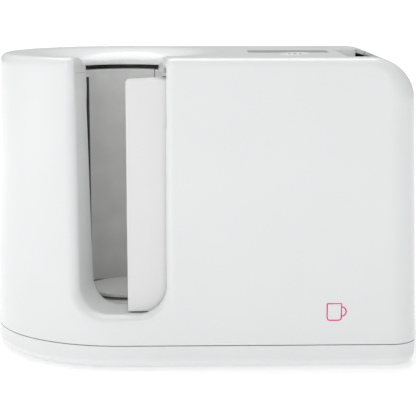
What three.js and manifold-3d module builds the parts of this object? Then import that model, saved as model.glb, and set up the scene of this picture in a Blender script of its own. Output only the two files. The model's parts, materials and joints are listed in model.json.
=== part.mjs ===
// Mug heat press: a white housing with a heated well for one mug, a slot for the mug's handle,
// a clamping jaw drawn tight by a lever in the right shoulder, and a control panel on top.
// Millimetres, +Z up, front towards -Y. The origin is under the middle of the housing.
import * as THREE from 'three';
import { mergeVertices } from 'three/addons/utils/BufferGeometryUtils.js';
import Module from 'manifold-3d';

const wasm = await Module();
wasm.setup();

// ---- driving dimensions -------------------------------------------------------------------
const LENGTH = 335;
const WIDTH = 185;
const HEIGHT = 240;
const WALL = 3;
const GAP = 0.3;
const DRAFT = 0.033;             // how far the walls lean in for each millimetre of height
const SEAM_Z = 20;               // parting plane between base tray and upper shell
const SEAM_HALF = 0.3;
const TRAY_Z = 1.5;              // underside of the base tray
const TRAY_EDGE_R = 9;
const TOP_EDGE_R = 7;
const CORNER_R = 22;             // right-hand vertical corners
const LEFT_REACH = 106;          // the left end is half an ellipse this long
const SHOULDER = { x: 130, z: 209, r: 31 };

const WELL_X = -61.5;            // axis of the mug well
const BORE_R = 46;
const BAND_T = 3.6;              // heater band thickness
const WELL_WALL_T = 2.1;
const BAND_Z = [41, 222];
const FIXED_ARC = [59.6, 236];   // degrees round the well, anticlockwise from +X
const WALL_ARC = [62, 231];      // the sheet behind the fixed band
const MOVING_ARC = [-48, 58.9];
const FUNNEL_LIP = { r: 47.5, z: 225.8 };
const FUNNEL_RIM = { x: -67, rx: 82, ry: 75.5 };
const FLARE = 1.8;               // 1 is a plain cone, 2 a quarter round
const COLLAR_T = 3;
const COLLAR_EDGE = 3;           // width of the collar's top edge outside the funnel
const MUG_REST = { r: 31, z: 45.3, t: 3 };

const SLOT = { x0: -99.3, x1: -27.5, z: 43.5, r: 22, front: -90, back: -46 };
const CHEEK = { closing: 0.22, twist: 0.0003, draft: 0.011, top: 228, collarClosing: 0.16 };
const FLAP = { x0: -57.5, x1: -20, y0: -81, y1: -52, z0: 44.4, z1: 223.5, t: 2.5 };

const JAW_HINGE = { x: -25, y: 60, pinR: 2.5, z0: 45, z1: 216 };
const JAW_PIN = { x: -10, y: -50, r: 2 };
const BAR = { y0: -56, y1: -44, z0: 168.5, z1: 171.5 };
const LEVER_PIVOT = { x: 155, z: 158, pinR: 2.5, half: 72 };
const LEVER_HALF_W = 64;
const LEVER_GAP = 0.8;           // room round the lever in the shell
const LEVER_EDGE_X = 137.7;      // top edge of the lever's opening
const LEVER_LOW_Z = 150;
const LEVER_TOP_ANGLE = 74;      // degrees up the shoulder to the lever's top edge
const CRANK = { r: 13, angle: 45, y0: -42.5, y1: -39.5, pinR: 2 };

const SCOOP = { x0: 110.5, x1: 130, y0: -68, y1: 32, drop: 9 };
const WINDOW = { x0: 38, x1: 103, y0: -18, y1: 14, r: 6 };
const BUTTON = { x: 73.7, y: -33.5, r: 10.5, top: 239.7 };
const VENTS = { count: 8, x: -4, pitch: 8, w: 3.4, z0: 110, z1: 150 };
const CHASSIS_Z = [23, 25];
const BOARD_Z = [33, 34.6];
const REAR = { x0: 70, x1: 140, z0: 30, z1: 76, y: 90 };
const INLET = { x: 93, z: 53, w: 24.2, h: 16.4, depth: 16 };
const ROCKER = { x: 126, z: 53, w: 12, h: 18, y: 86.5, tilt: 8 };
const FEET = [[-105, -46], [-105, 46], [135, -60], [135, 60]];
const SCREWS = [[-120, -30], [-120, 30], [145, -40], [145, 40]];

// ---- materials ----------------------------------------------------------------------------
const FINISH = {
  white: [0xf2f2f0, 0.28, 0.0],
  panelWhite: [0xe6e6e4, 0.35, 0.0],
  heater: [0x8d8d8b, 0.8, 0.0],
  rest: [0x9a9a98, 0.6, 0.1],
  steel: [0xb4b6b8, 0.35, 0.9],
  zinc: [0xa8acb0, 0.45, 0.8],
  dark: [0x2b2c2e, 0.55, 0.0],
  black: [0x151517, 0.5, 0.0],
  lens: [0x3a3d42, 0.15, 0.0],
  board: [0x1f5a37, 0.5, 0.0],
  rubber: [0x202020, 0.9, 0.0],
  amber: [0xc9973a, 0.5, 0.0],
  red: [0xb02a24, 0.5, 0.0],
  blue: [0x25426e, 0.5, 0.0],
};

const root = new THREE.Group();

function addPart(name, geometry, finish) {
  const [color, roughness, metalness] = FINISH[finish];
  const material = new THREE.MeshStandardMaterial({ color, roughness, metalness });
  const mesh = new THREE.Mesh(geometry, material);
  mesh.name = name;
  root.add(mesh);
  return mesh;
}

// ---- solids -------------------------------------------------------------------------------
function solid(geometry) {
  const bare = geometry.index ? geometry.clone() : geometry;
  bare.deleteAttribute('normal');
  bare.deleteAttribute('uv');
  const merged = mergeVertices(bare, 1e-4);
  const mesh = new wasm.Mesh({
    numProp: 3,
    vertProperties: new Float32Array(merged.attributes.position.array),
    triVerts: new Uint32Array(merged.index.array),
  });
  return new wasm.Manifold(mesh);
}

function toGeometry(body) {
  const mesh = body.getMesh();
  const geometry = new THREE.BufferGeometry();
  geometry.setAttribute('position', new THREE.BufferAttribute(mesh.vertProperties, 3));
  geometry.setIndex(new THREE.BufferAttribute(mesh.triVerts, 1));
  geometry.computeVertexNormals();
  return geometry;
}

const radians = (degrees) => THREE.MathUtils.degToRad(degrees);

function box(x0, x1, y0, y1, z0, z1) {
  const geometry = new THREE.BoxGeometry(x1 - x0, y1 - y0, z1 - z0);
  geometry.translate((x0 + x1) / 2, (y0 + y1) / 2, (z0 + z1) / 2);
  return solid(geometry);
}

function extrude(shape, depth, curveSegments) {
  return new THREE.ExtrudeGeometry(shape, { depth, bevelEnabled: false, curveSegments });
}

// The shape lies in X and Y and is raised from z0 to z1.
function prismZ(shape, z0, z1, curveSegments = 8) {
  return solid(extrude(shape, z1 - z0, curveSegments).translate(0, 0, z0));
}

// The shape lies in X and Z and reaches from y0 to y1.
function prismY(shape, y0, y1, curveSegments = 8) {
  return solid(extrude(shape, y1 - y0, curveSegments).rotateX(Math.PI / 2).translate(0, y1, 0));
}

function cylinderZ(x, y, r, z0, z1, sides = 20) {
  const geometry = new THREE.CylinderGeometry(r, r, z1 - z0, sides);
  return solid(geometry.rotateX(Math.PI / 2).translate(x, y, (z0 + z1) / 2));
}

function cylinderY(x, z, r, y0, y1, sides = 20) {
  const geometry = new THREE.CylinderGeometry(r, r, y1 - y0, sides);
  return solid(geometry.translate(x, (y0 + y1) / 2, z));
}

// Turns a closed profile of [radius, height] points round a vertical axis at (x, y).
function turned(profile, x, y, sides = 32) {
  const points = profile.map(([r, z]) => new THREE.Vector2(r, z));
  const geometry = new THREE.LatheGeometry(points, sides);
  return solid(geometry.rotateX(Math.PI / 2).translate(x, y, 0));
}

function roundedRect(x0, x1, y0, y1, r) {
  const shape = new THREE.Shape();
  shape.moveTo(x0 + r, y0);
  shape.lineTo(x1 - r, y0);
  shape.absarc(x1 - r, y0 + r, r, -Math.PI / 2, 0);
  shape.lineTo(x1, y1 - r);
  shape.absarc(x1 - r, y1 - r, r, 0, Math.PI / 2);
  shape.lineTo(x0 + r, y1);
  shape.absarc(x0 + r, y1 - r, r, Math.PI / 2, Math.PI);
  shape.lineTo(x0, y0 + r);
  shape.absarc(x0 + r, y0 + r, r, Math.PI, 1.5 * Math.PI);
  return shape;
}

function polygon(points) {
  return new THREE.Shape(points.map(([x, y]) => new THREE.Vector2(x, y)));
}

// A sector of a ring round the well's axis, between two angles in degrees.
function ringSector(rInner, rOuter, from, to) {
  const shape = new THREE.Shape();
  shape.absarc(WELL_X, 0, rOuter, radians(from), radians(to), false);
  shape.absarc(WELL_X, 0, rInner, radians(to), radians(from), true);
  return shape;
}

function wire(points, r, sides = 8, steps = 20) {
  const path = new THREE.CatmullRomCurve3(points.map((p) => new THREE.Vector3(...p)));
  const section = new THREE.Shape().absarc(0, 0, r, 0, 2 * Math.PI);
  const settings = { extrudePath: path, steps, curveSegments: sides, bevelEnabled: false };
  return solid(new THREE.ExtrudeGeometry(section, settings));
}

// ---- housing outline ----------------------------------------------------------------------
const LEFT_STEPS = 26;
const SLOT_CORNER_STEPS = 8;
const CORNER_STEPS = 5;

// Plan outline moved in by inset: half an ellipse at the left, two round corners at the right.
function outline(inset) {
  const points = [];
  const reach = LEFT_REACH - inset;
  const half = WIDTH / 2 - inset;
  const r = Math.max(CORNER_R - inset, 1);
  const right = LENGTH / 2 - inset;
  for (let i = 0; i <= LEFT_STEPS; i += 1) {
    const a = Math.PI / 2 + (Math.PI * i) / LEFT_STEPS;
    points.push([-LENGTH / 2 + LEFT_REACH + reach * Math.cos(a), half * Math.sin(a)]);
  }
  for (const [side, start] of [[-1, -Math.PI / 2], [1, 0]]) {
    for (let i = 0; i <= CORNER_STEPS; i += 1) {
      const a = start + (Math.PI / 2) * (i / CORNER_STEPS);
      points.push([right - r + r * Math.cos(a), side * (half - r) + r * Math.sin(a)]);
    }
  }
  return points;
}

// Skins a stack of rings with equal point counts, lowest first, and closes both ends.
function loft(rings) {
  const count = rings[0].length;
  const positions = rings.flat(2);
  const index = [];
  for (let k = 0; k + 1 < rings.length; k += 1) {
    for (let i = 0; i < count; i += 1) {
      const [a, b] = [k * count + i, k * count + ((i + 1) % count)];
      index.push(a, b, b + count, a, b + count, a + count);
    }
  }
  for (const ring of [0, rings.length - 1]) {
    const centre = positions.length / 3;
    const flip = ring === 0;
    const middle = [0, 1, 2].map((k) => rings[ring].reduce((sum, point) => sum + point[k], 0) / count);
    positions.push(...middle);
    for (let i = 0; i < count; i += 1) {
      const [a, b] = [ring * count + i, ring * count + ((i + 1) % count)];
      index.push(centre, flip ? b : a, flip ? a : b);
    }
  }
  const geometry = new THREE.BufferGeometry();
  geometry.setAttribute('position', new THREE.Float32BufferAttribute(positions, 3));
  geometry.setIndex(index);
  return solid(geometry);
}

// A stack of housing outlines, each given as [inset, height].
function skinned(levels) {
  return loft(levels.map(([inset, z]) => outline(inset).map(([x, y]) => [x, y, z])));
}

const leanAt = (z) => DRAFT * (z - SEAM_Z);

// Everything left of and below the rounded shoulder, moved in by inset.
function shoulderBlock(inset) {
  const shape = new THREE.Shape();
  const r = SHOULDER.r - inset;
  shape.moveTo(-LENGTH, 0);
  shape.lineTo(LENGTH, 0);
  shape.lineTo(LENGTH, SHOULDER.z);
  shape.lineTo(SHOULDER.x + r, SHOULDER.z);
  shape.absarc(SHOULDER.x, SHOULDER.z, r, 0, Math.PI / 2);
  shape.lineTo(-LENGTH, HEIGHT - inset);
  return prismY(shape, -WIDTH, WIDTH, 9);
}

// Left side of the slot: it closes in towards the well, and a little downwards.
function cheekAt(y, z) {
  const depth = y - SLOT.front;
  const low = Math.max(CHEEK.top - z, 0);
  return SLOT.x0 + (CHEEK.closing + CHEEK.twist * low) * depth + CHEEK.draft * low;
}

function slotRing(y, grow, top, rightClosing) {
  const r = SLOT.r + grow;
  const z = SLOT.z - grow;
  const bend = z + r;
  const left = cheekAt(y, bend) - grow;
  const right = SLOT.x1 + grow - rightClosing * (y - SLOT.front);
  const upper = Math.max(CHEEK.top, bend);
  const ring = [[cheekAt(y, top) - grow, top], [cheekAt(y, upper) - grow, upper]];
  for (const [centre, start] of [[left + r, Math.PI], [right - r, 1.5 * Math.PI]]) {
    for (let i = 0; i <= SLOT_CORNER_STEPS; i += 1) {
      const a = start + (Math.PI / 2) * (i / SLOT_CORNER_STEPS);
      ring.push([centre + r * Math.cos(a), bend + r * Math.sin(a)]);
    }
  }
  ring.push([right, top]);
  return ring.map(([x, height]) => [x, height, -y]);
}

// The room of the slot between two depths, grown outwards by grow.
function slotRoom(y0, y1, grow, top, rightClosing = 0) {
  const rings = [slotRing(y1, grow, top, rightClosing), slotRing(y0, grow, top, rightClosing)];
  return loft(rings).rotate([90, 0, 0]);
}

// ---- housing ------------------------------------------------------------------------------
const FUNNEL_SIDES = 40;

// Ring of the funnel: share 0 is the round lip over the well, share 1 the wide oval rim.
function funnelRing(share, grow, z) {
  const mix = THREE.MathUtils.lerp;
  const centre = mix(WELL_X, FUNNEL_RIM.x, share);
  const [rx, ry] = [mix(FUNNEL_LIP.r, FUNNEL_RIM.rx, share), mix(FUNNEL_LIP.r, FUNNEL_RIM.ry, share)];
  const ring = [];
  for (let i = 0; i < FUNNEL_SIDES; i += 1) {
    const a = (2 * Math.PI * i) / FUNNEL_SIDES;
    ring.push([centre + (rx + grow) * Math.cos(a), (ry + grow) * Math.sin(a), z]);
  }
  return ring;
}

function rimRoom() {
  const grow = COLLAR_EDGE + GAP;
  return loft([funnelRing(1, grow, FUNNEL_LIP.z), funnelRing(1, grow, HEIGHT + 20)]);
}

function slotLiner() {
  const top = FUNNEL_LIP.z - GAP;
  const outer = slotRoom(-89, SLOT.back, WALL, top);
  const inner = slotRoom(-100, 0, 0, top + 1);
  const kept = box(-200, FLAP.x0 - 1, -200, 200, 0, 300);
  return outer.subtract(inner).intersect(kept);
}

function ventSlots() {
  const { count, x, pitch, w, z0, z1 } = VENTS;
  const slots = [];
  for (let i = 0; i < count; i += 1) {
    const left = x + i * pitch;
    slots.push(prismY(roundedRect(left, left + w, z0, z1, 1.6), 60, 120, 3));
  }
  return wasm.Manifold.union(slots);
}

function upperShell() {
  const top = HEIGHT - TOP_EDGE_R;
  const levels = [[0, SEAM_Z + SEAM_HALF], [leanAt(top), top]];
  for (const a of [45, 90]) {
    const inset = leanAt(top) + TOP_EDGE_R * (1 - Math.cos(radians(a)));
    levels.push([inset, top + TOP_EDGE_R * Math.sin(radians(a))]);
  }
  const outer = skinned(levels).intersect(shoulderBlock(0));
  const insideTop = HEIGHT - WALL;
  const bend = insideTop - TOP_EDGE_R;
  const inside = skinned([
    [leanAt(0) + WALL, 0],
    [leanAt(bend) + WALL, bend],
    [leanAt(insideTop) + WALL + 4, insideTop],
  ]);
  let shell = outer.subtract(inside.intersect(shoulderBlock(WALL)));
  shell = shell.add(slotLiner());
  for (const [x, y] of [[40, -46], [101, -46], [40, 20], [101, 20]]) {
    shell = shell.add(cylinderZ(x, y, 3, 224, HEIGHT - WALL + 1, 12));
  }
  shell = shell.subtract(slotRoom(-100, -78, 0, HEIGHT + 20));
  shell = shell.subtract(slotRoom(-100, 0, 0, HEIGHT + 20).intersect(box(-200, 200, -200, 200, 150, 300)));
  shell = shell.subtract(rimRoom());
  const { x0, x1, y0, y1, r } = WINDOW;
  shell = shell.subtract(prismZ(roundedRect(x0, x1, y0, y1, r), 200, 260));
  shell = shell.subtract(cylinderZ(BUTTON.x, BUTTON.y, BUTTON.r + 2.2, 200, 260, 32));
  shell = shell.subtract(box(SCOOP.x0, SHOULDER.x + 30, SCOOP.y0, SCOOP.y1, 215, 260));
  const leverHalf = LEVER_HALF_W + LEVER_GAP;
  shell = shell.subtract(box(LEVER_EDGE_X, 200, -leverHalf, leverHalf, LEVER_LOW_Z - LEVER_GAP, 260));
  shell = shell.subtract(prismY(roundedRect(REAR.x0, REAR.x1, REAR.z0, REAR.z1, 4), 70, 120, 4));
  return shell.subtract(ventSlots());
}

function funnelCollar() {
  const [low, top] = [FUNNEL_LIP.z, HEIGHT - 0.6];
  const outer = loft([
    funnelRing(0, COLLAR_T + 0.5, low),
    funnelRing(0.25, COLLAR_T, low + 6),
    funnelRing(1, COLLAR_EDGE, top - COLLAR_T),
    funnelRing(1, COLLAR_EDGE, top),
  ]);
  const flare = [0.03, 0.12, 0.3, 0.6, 0.97].map((share) => {
    const rise = (1 - (1 - share) ** FLARE) ** (1 / FLARE);
    return funnelRing(share, 0, low + rise * (top - low));
  });
  const inner = loft([
    funnelRing(0, 0, low - 5),
    funnelRing(0, 0, low + 1),
    ...flare,
    funnelRing(1, 0, top + 0.1),
    funnelRing(1, 0, top + 9),
  ]);
  return outer.subtract(inner).subtract(slotRoom(-120, 0, 0, 260, CHEEK.collarClosing));
}

function baseTray() {
  const edge = (a) => [
    TRAY_EDGE_R * (1 - Math.sin(radians(a))),
    TRAY_Z + TRAY_EDGE_R * (1 - Math.cos(radians(a))),
  ];
  const outer = skinned([edge(0), edge(45), edge(90), [0, SEAM_Z - SEAM_HALF]]);
  const inside = skinned([[TRAY_EDGE_R, TRAY_Z + WALL], [WALL, TRAY_Z + TRAY_EDGE_R + 1], [WALL, 40]]);
  let tray = outer.subtract(inside);
  for (const [x, y] of SCREWS) {
    tray = tray.add(cylinderZ(x, y, 6, TRAY_Z + WALL - 1, CHASSIS_Z[0] - GAP, 16));
    tray = tray.subtract(cylinderZ(x, y, 4.6, 0, 5, 16)).subtract(cylinderZ(x, y, 2.2, 0, 40, 12));
  }
  for (const [x, y] of FEET) {
    tray = tray.subtract(cylinderZ(x, y, 9.3, 0, TRAY_Z + 1.3, 20));
  }
  return tray;
}

function fingerScoop() {
  const { x0, x1, y0, y1, drop } = SCOOP;
  const [low, high] = [x0 + GAP, HEIGHT - 0.7];
  const floor = polygon([
    [low, high], [low, high - 2.4], [x1 - 2, high - drop - 2.4],
    [x1 - 2, 224], [x1, 224], [x1, high - drop],
  ]);
  let scoop = prismY(floor, y0 + GAP, y1 - GAP);
  for (const y of [y0 + GAP, y1 - GAP - 2]) {
    scoop = scoop.add(box(low, x1, y, y + 2, 224, high));
  }
  return scoop;
}

// ---- mug well -----------------------------------------------------------------------------
const bandOuter = BORE_R + BAND_T;
const wallInner = bandOuter + GAP;
const wallOuter = wallInner + WELL_WALL_T;

function makeWell() {
  const curve = 22;
  const band = ringSector(BORE_R, bandOuter, ...FIXED_ARC);
  addPart('fixed_band', toGeometry(prismZ(band, ...BAND_Z, curve)), 'heater');
  const wall = ringSector(wallInner, wallOuter, ...WALL_ARC);
  addPart('well_wall', toGeometry(prismZ(wall, CHASSIS_Z[1] + GAP, BAND_Z[1] + 1, curve)), 'zinc');
  const floor = [[8.4, 38], [BORE_R + 3, 38], [BORE_R + 3, 40.3], [8.4, 40.3], [8.4, 38]];
  addPart('well_floor', toGeometry(turned(floor, WELL_X, 0, 32)), 'rest');
  const { r, z, t } = MUG_REST;
  const disc = [[0, z - t], [r - 1, z - t], [r, z - t + 1], [r, z - 1], [r - 1, z], [0, z]];
  addPart('mug_rest', toGeometry(turned(disc, WELL_X, 0, 32)), 'rest');
  addPart('mug_rest_post', toGeometry(cylinderZ(WELL_X, 0, 8, CHASSIS_Z[1] + GAP, z - t - GAP)), 'dark');
}

// ---- clamping jaw -------------------------------------------------------------------------
function jawShell() {
  let jaw = prismZ(ringSector(wallInner, wallOuter, ...MOVING_ARC), BAND_Z[0], BAND_Z[1], 14);
  const lug = polygon([[-31, 38], [-26, 36], [-20, 58], [-21, 63.5], [-28, 64.5], [-30, 60], [-38, 49]]);
  const room = cylinderZ(WELL_X, 0, wallInner, 0, 300, 60);
  for (const z of [56, 204]) {
    jaw = jaw.add(prismZ(lug, z, z + 4).subtract(room));
  }
  jaw = jaw.subtract(cylinderZ(JAW_HINGE.x, JAW_HINGE.y, JAW_HINGE.pinR + GAP, 0, 300, 16));
  jaw = jaw.add(box(-27.4, -24.4, FLAP.y1 + GAP, -36, 70, 200));
  const [lugLow, lugHigh] = [BAR.z1 + GAP, BAR.z1 + 3.3];
  jaw = jaw.add(box(-26, -5, FLAP.y1 + GAP, JAW_PIN.y + 6, lugLow, lugHigh));
  jaw = jaw.add(box(FLAP.x1 + GAP, -5, JAW_PIN.y - 5, JAW_PIN.y + 6, lugLow, lugHigh));
  return jaw.subtract(cylinderZ(JAW_PIN.x, JAW_PIN.y, JAW_PIN.r + GAP, 150, 200, 12));
}

function jawCover() {
  const { x0, x1, y0, y1, z0, z1, t } = FLAP;
  return box(x0, x1, y0, y1, z0, z1).subtract(box(x0 + t, x1 + 1, y0 + t, y1 - t, z0 + t, z1 - t));
}

function hingeBracket() {
  const { x, y, pinR } = JAW_HINGE;
  let bracket = box(x - 6, x + 6, y + 6, y + 9, CHASSIS_Z[1] + GAP, 218);
  for (const z of [50, 211]) {
    bracket = bracket.add(box(x - 6, x + 6, y - 5, y + 7, z, z + 3));
  }
  return bracket.subtract(cylinderZ(x, y, pinR + GAP, 40, 240, 16));
}

function makeJaw() {
  const band = ringSector(BORE_R, bandOuter, ...MOVING_ARC);
  addPart('moving_band', toGeometry(prismZ(band, ...BAND_Z, 14)), 'heater');
  addPart('jaw_shell', toGeometry(jawShell()), 'zinc');
  addPart('jaw_cover', toGeometry(jawCover()), 'panelWhite');
  const { x, y, pinR, z0, z1 } = JAW_HINGE;
  addPart('jaw_hinge_pin', toGeometry(cylinderZ(x, y, pinR, z0, z1, 16)), 'steel');
  addPart('hinge_bracket', toGeometry(hingeBracket()), 'zinc');
  const drivePin = cylinderZ(JAW_PIN.x, JAW_PIN.y, JAW_PIN.r, 165, 178, 12);
  addPart('jaw_drive_pin', toGeometry(drivePin), 'steel');
}

// ---- clamp lever and drawbar --------------------------------------------------------------
const crankPin = {
  x: LEVER_PIVOT.x - CRANK.r * Math.sin(radians(CRANK.angle)),
  z: LEVER_PIVOT.z + CRANK.r * Math.cos(radians(CRANK.angle)),
};
const sideAt = (z) => LENGTH / 2 - leanAt(z);

function clampLever() {
  const { x, z } = LEVER_PIVOT;
  const reach = sideAt(z) - x;
  const thin = reach - WALL;
  const top = radians(LEVER_TOP_ANGLE);
  const panel = new THREE.Shape();
  panel.absarc(x, z, reach, radians(-70), 0);
  panel.absarc(SHOULDER.x, SHOULDER.z, SHOULDER.r, 0, top);
  panel.absarc(SHOULDER.x, SHOULDER.z, SHOULDER.r - WALL, top, 0, true);
  panel.absarc(x, z, thin, 0, radians(-70), true);
  let lever = prismY(panel, -LEVER_HALF_W, LEVER_HALF_W, 12);
  const cheek = new THREE.Shape();
  cheek.absarc(x, z, reach - 0.6, radians(150), 2 * Math.PI);
  cheek.absarc(SHOULDER.x, SHOULDER.z, SHOULDER.r - 1, 0, radians(62));
  cheek.absarc(SHOULDER.x, SHOULDER.z, SHOULDER.r - 9, radians(62), radians(10), true);
  for (const y of [-LEVER_HALF_W, LEVER_HALF_W - WALL]) {
    lever = lever.add(prismY(cheek, y, y + WALL, 10));
  }
  return lever.subtract(cylinderY(x, z, LEVER_PIVOT.pinR + GAP, -90, 90, 16));
}

function leverGrip() {
  const ledge = polygon([
    [131, 229.5], [141, 227], [141, 233.8], [137, 235.2], [136, 233], [131, 232.2],
  ]);
  return prismY(ledge, -60, 28);
}

function crankArm() {
  const { x, z, pinR } = LEVER_PIVOT;
  const foot = box(x, sideAt(z) - WALL - 0.6, CRANK.y0, CRANK.y1, z + 0.5, z + 7);
  const hub = cylinderY(x, z, 4.4, CRANK.y0, CRANK.y1);
  const tip = cylinderY(crankPin.x, crankPin.z, 4, CRANK.y0, CRANK.y1);
  const web = polygon([
    [x - 3.2, z - 3.2], [x + 3.2, z + 3.2],
    [crankPin.x + 2.6, crankPin.z + 2.6], [crankPin.x - 2.6, crankPin.z - 2.6],
  ]);
  const arm = foot.add(hub).add(tip).add(prismY(web, CRANK.y0, CRANK.y1));
  const pivotHole = cylinderY(x, z, pinR + GAP, -90, 90, 16);
  const pinHole = cylinderY(crankPin.x, crankPin.z, CRANK.pinR + GAP, -90, 90, 16);
  return arm.subtract(pivotHole).subtract(pinHole);
}

function drawbar() {
  const { y0, y1, z0, z1 } = BAR;
  const [x0, x1] = [crankPin.x - 4.8, crankPin.x + 4.8];
  let bar = box(JAW_PIN.x - 5, x1, y0, y1, z0, z1);
  bar = bar.add(box(x0, x1, y0, y1, 163, 180));
  bar = bar.subtract(box(crankPin.x - 2.5, crankPin.x + 2.5, -90, 0, 164.6, 174));
  const { x, y } = JAW_PIN;
  return bar.subtract(prismZ(roundedRect(x - 2.4, x + 2.4, y - 4.5, y + 4.5, 2.3), 100, 200, 4));
}

function leverTub() {
  const [x0, x1, xWall] = [123.7, 157, 134];
  const [z0, zShelf] = [LEVER_LOW_Z + 1, 221.7];
  const inner = LEVER_HALF_W + 1.2;
  let tub = box(x0, xWall + 2, -inner, inner, zShelf - 2, zShelf);
  tub = tub.add(box(xWall, xWall + 2, -inner, inner, z0, zShelf));
  const side = new THREE.Shape();
  side.moveTo(xWall, z0);
  side.lineTo(x1, z0);
  side.lineTo(x1, SHOULDER.z);
  side.absarc(SHOULDER.x, SHOULDER.z, x1 - SHOULDER.x, 0, Math.PI / 2);
  side.lineTo(x0 + 2.6, SHOULDER.z + x1 - SHOULDER.x);
  side.lineTo(x0 + 2.6, zShelf - 2);
  side.lineTo(xWall, zShelf - 2);
  for (const y of [-inner - 2, inner]) {
    tub = tub.add(prismY(side, y - 0.01, y + 2.01, 10));
  }
  tub = tub.subtract(box(120, 137, BAR.y0 - 1.5, BAR.y1 + 1.5, 160, 183));
  tub = tub.subtract(box(SCOOP.x0, 137.5, -inner - 3, -inner + 0.5, zShelf + 0.01, 240));
  return tub.subtract(cylinderY(LEVER_PIVOT.x, LEVER_PIVOT.z, LEVER_PIVOT.pinR + GAP, -90, 90, 16));
}

function makeLever() {
  const { x, z, pinR, half } = LEVER_PIVOT;
  addPart('clamp_lever', toGeometry(clampLever()), 'white');
  addPart('lever_grip', toGeometry(leverGrip()), 'dark');
  addPart('lever_pin', toGeometry(cylinderY(x, z, pinR, -half, half, 16)), 'steel');
  addPart('crank_arm', toGeometry(crankArm()), 'zinc');
  const pin = cylinderY(crankPin.x, crankPin.z, CRANK.pinR, BAR.y0 - 1, CRANK.y1 + 1, 16);
  addPart('crank_pin', toGeometry(pin), 'steel');
  addPart('drawbar', toGeometry(drawbar()), 'steel');
  addPart('lever_tub', toGeometry(leverTub()), 'dark');
  for (const [name, y] of [['front', -LEVER_HALF_W - 6.8], ['rear', LEVER_HALF_W + 3.8]]) {
    const plate = box(x - 6, x + 4, y, y + 3, CHASSIS_Z[1] + GAP, z + 8);
    const hole = cylinderY(x, z, pinR + GAP, -90, 90, 16);
    addPart(`lever_bracket_${name}`, toGeometry(plate.subtract(hole)), 'zinc');
  }
  for (const [i, gx] of [30, 110].entries()) {
    const plate = box(gx, gx + 3, BAR.y0 - 6, BAR.y1 + 6, CHASSIS_Z[1] + GAP, BAR.z1 + 6);
    const way = box(gx - 5, gx + 8, BAR.y0 - 0.4, BAR.y1 + 0.4, BAR.z0 - 0.4, BAR.z1 + 0.4);
    addPart(`drawbar_guide_${i + 1}`, toGeometry(plate.subtract(way)), 'zinc');
  }
}

// ---- control panel ------------------------------------------------------------------------
function makePanel() {
  const { x0, x1, y0, y1, r } = WINDOW;
  const lens = roundedRect(x0 + GAP, x1 - GAP, y0 + GAP, y1 - GAP, r);
  addPart('display_window', toGeometry(prismZ(lens, HEIGHT - 2.8, HEIGHT - 0.5)), 'lens');
  const board = prismZ(roundedRect(34, 107, -52, 26, 2), 222, 223.6, 3);
  addPart('display_board', toGeometry(board), 'board');
  const { x, y, r: cap, top } = BUTTON;
  addPart('button_switch', toGeometry(box(x - 3.5, x + 3.5, y - 3.5, y + 3.5, 223.9, 226)), 'black');
  const ring = [
    [cap + 0.4, 230], [cap + 1.9, 230], [cap + 1.9, 234], [cap + 4, 234], [cap + 4, 236.6],
    [cap + 1.9, 236.6], [cap + 1.9, HEIGHT - 0.1], [cap + 0.4, HEIGHT - 0.1], [cap + 0.4, 230],
  ];
  addPart('button_bezel', toGeometry(turned(ring, x, y, 24)), 'panelWhite');
  const button = [
    [0, 228], [2.5, 228], [2.5, 234.5], [cap, 234.5], [cap, top - 0.6], [cap - 0.8, top], [0, top],
  ];
  addPart('start_button', toGeometry(turned(button, x, y, 24)), 'panelWhite');
  const turns = 3;
  const coil = [];
  for (let i = 0; i <= turns * 8; i += 1) {
    const a = (i / 8) * 2 * Math.PI;
    coil.push([x + 5.6 * Math.cos(a), y + 5.6 * Math.sin(a), 224.6 + (9 * i) / (turns * 8)]);
  }
  addPart('button_spring', toGeometry(wire(coil, 0.4, 3, turns * 8)), 'steel');
}

// ---- chassis and electrics ----------------------------------------------------------------
function chassisPlate() {
  let plate = skinned([[8, CHASSIS_Z[0]], [8, CHASSIS_Z[1]]]);
  for (const [x, y] of [[24, -26], [106, -26], [24, 46], [106, 46]]) {
    plate = plate.add(cylinderZ(x, y, 3, CHASSIS_Z[1] - 1, BOARD_Z[0] - GAP, 10));
  }
  for (const [x, y] of SCREWS) {
    plate = plate.subtract(cylinderZ(x, y, 2.2, 0, 40, 12));
  }
  return plate;
}

function heatSink() {
  let sink = box(20, 60, -30, -26.5, BOARD_Z[1] + GAP, 62);
  for (let i = 0; i < 6; i += 1) {
    sink = sink.add(box(20 + i * 7.6, 22 + i * 7.6, -27, -14, BOARD_Z[1] + GAP, 62));
  }
  return sink;
}

function makeElectrics() {
  const on = BOARD_Z[1] + GAP;
  addPart('chassis_plate', toGeometry(chassisPlate()), 'zinc');
  addPart('power_board', toGeometry(prismZ(roundedRect(18, 112, -32, 52, 2), ...BOARD_Z, 3)), 'board');
  addPart('transformer', toGeometry(prismZ(roundedRect(74, 106, 14, 46, 3), on, 62, 3)), 'amber');
  addPart('relay', toGeometry(box(36, 52, 2, 20, on, 52)), 'blue');
  addPart('capacitor', toGeometry(cylinderZ(86, -14, 9, on, 66, 20)), 'black');
  addPart('heat_sink', toGeometry(heatSink()), 'zinc');
  addPart('terminal_block', toGeometry(box(58, 68, 32, 50, on, 48)), 'dark');
  const can = cylinderY(WELL_X, 150, 8, wallOuter + GAP, wallOuter + 8.3, 20);
  addPart('thermal_cutout', toGeometry(can), 'black');
  const bead = cylinderY(WELL_X, 110, 3, wallOuter + GAP, wallOuter + 5, 12);
  addPart('thermistor', toGeometry(bead), 'amber');
  const leads = [
    ['heater_lead_live', [[-8, 36, 200], [2, 40, 120], [6, 40, 60], [20, 44, 46], [56, 41, 42]], 'red'],
    ['heater_lead_neutral', [[-52, 70, 150], [-10, 74, 110], [6, 62, 60], [26, 50, 50], [56, 48, 42]], 'black'],
  ];
  for (const [name, points, finish] of leads) {
    addPart(name, toGeometry(wire(points, 1.6, 3, 18)), finish);
  }
}

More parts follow.
